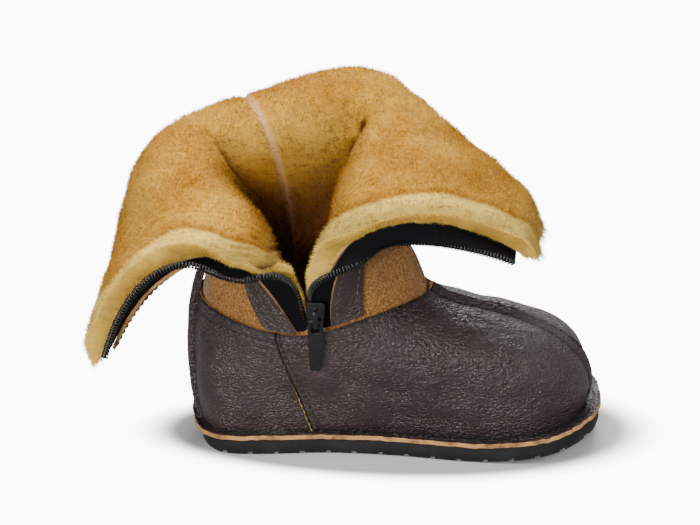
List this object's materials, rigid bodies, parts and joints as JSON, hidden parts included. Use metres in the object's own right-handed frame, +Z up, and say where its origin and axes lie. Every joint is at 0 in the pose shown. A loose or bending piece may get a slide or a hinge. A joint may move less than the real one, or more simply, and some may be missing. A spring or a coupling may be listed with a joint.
{
  "type": "mukluk boot",
  "caption": "Toddler's sheepskin mukluk boot, unzipped, with its fleece-lined shaft folded open and down over a leather foot on a thin rubber sole.",
  "frame": {"origin": "on the floor under the middle of the heel, on the flat of a tread block", "axes": "+X to the toe, +Y to the outer side of the foot, +Z up; the zip is on the inner side, which faces -Y"},
  "size_m": [0.1847, 0.1104, 0.127],
  "materials": {
    "outsole": "matt black moulded rubber",
    "upper": "grained dark brown leather, satin",
    "insole": "sheepskin footbed, pile up",
    "shaft_back": "sheepskin: tan suede outside, golden fleece inside",
    "shaft_front": "sheepskin: tan suede outside, golden fleece inside",
    "backstay": "grained dark brown leather strip",
    "placket_back": "grained dark brown leather facing",
    "placket_front": "grained dark brown leather facing",
    "zip_tape_back": "black woven tape",
    "zip_tape_front": "black woven tape",
    "zip_coil_back": "black nylon teeth",
    "zip_coil_front": "black nylon teeth",
    "zip_slider": "black enamel",
    "zip_pull": "black enamel"
  },
  "bodies": {
    "boot": {"outsole": "outsole", "upper": "upper", "insole": "insole", "shaft_back": "shaft_back", "shaft_front": "shaft_front", "backstay": "backstay", "placket_back": "placket_back", "placket_front": "placket_front", "zip_tape_back": "zip_tape_back", "zip_tape_front": "zip_tape_front", "zip_coil_back": "zip_coil_back", "zip_coil_front": "zip_coil_front", "zip_slider": "zip_slider"},
    "pull": {"zip_pull": "zip_pull"}
  },
  "joints": [
    {"name": "pull_hinge", "type": "hinge", "parent": "boot", "child": "pull", "pos_m": [0.0195, -0.03241, 0.0568], "axis": [-1, 0, 0], "range_deg": [0, 120]}
  ]
}
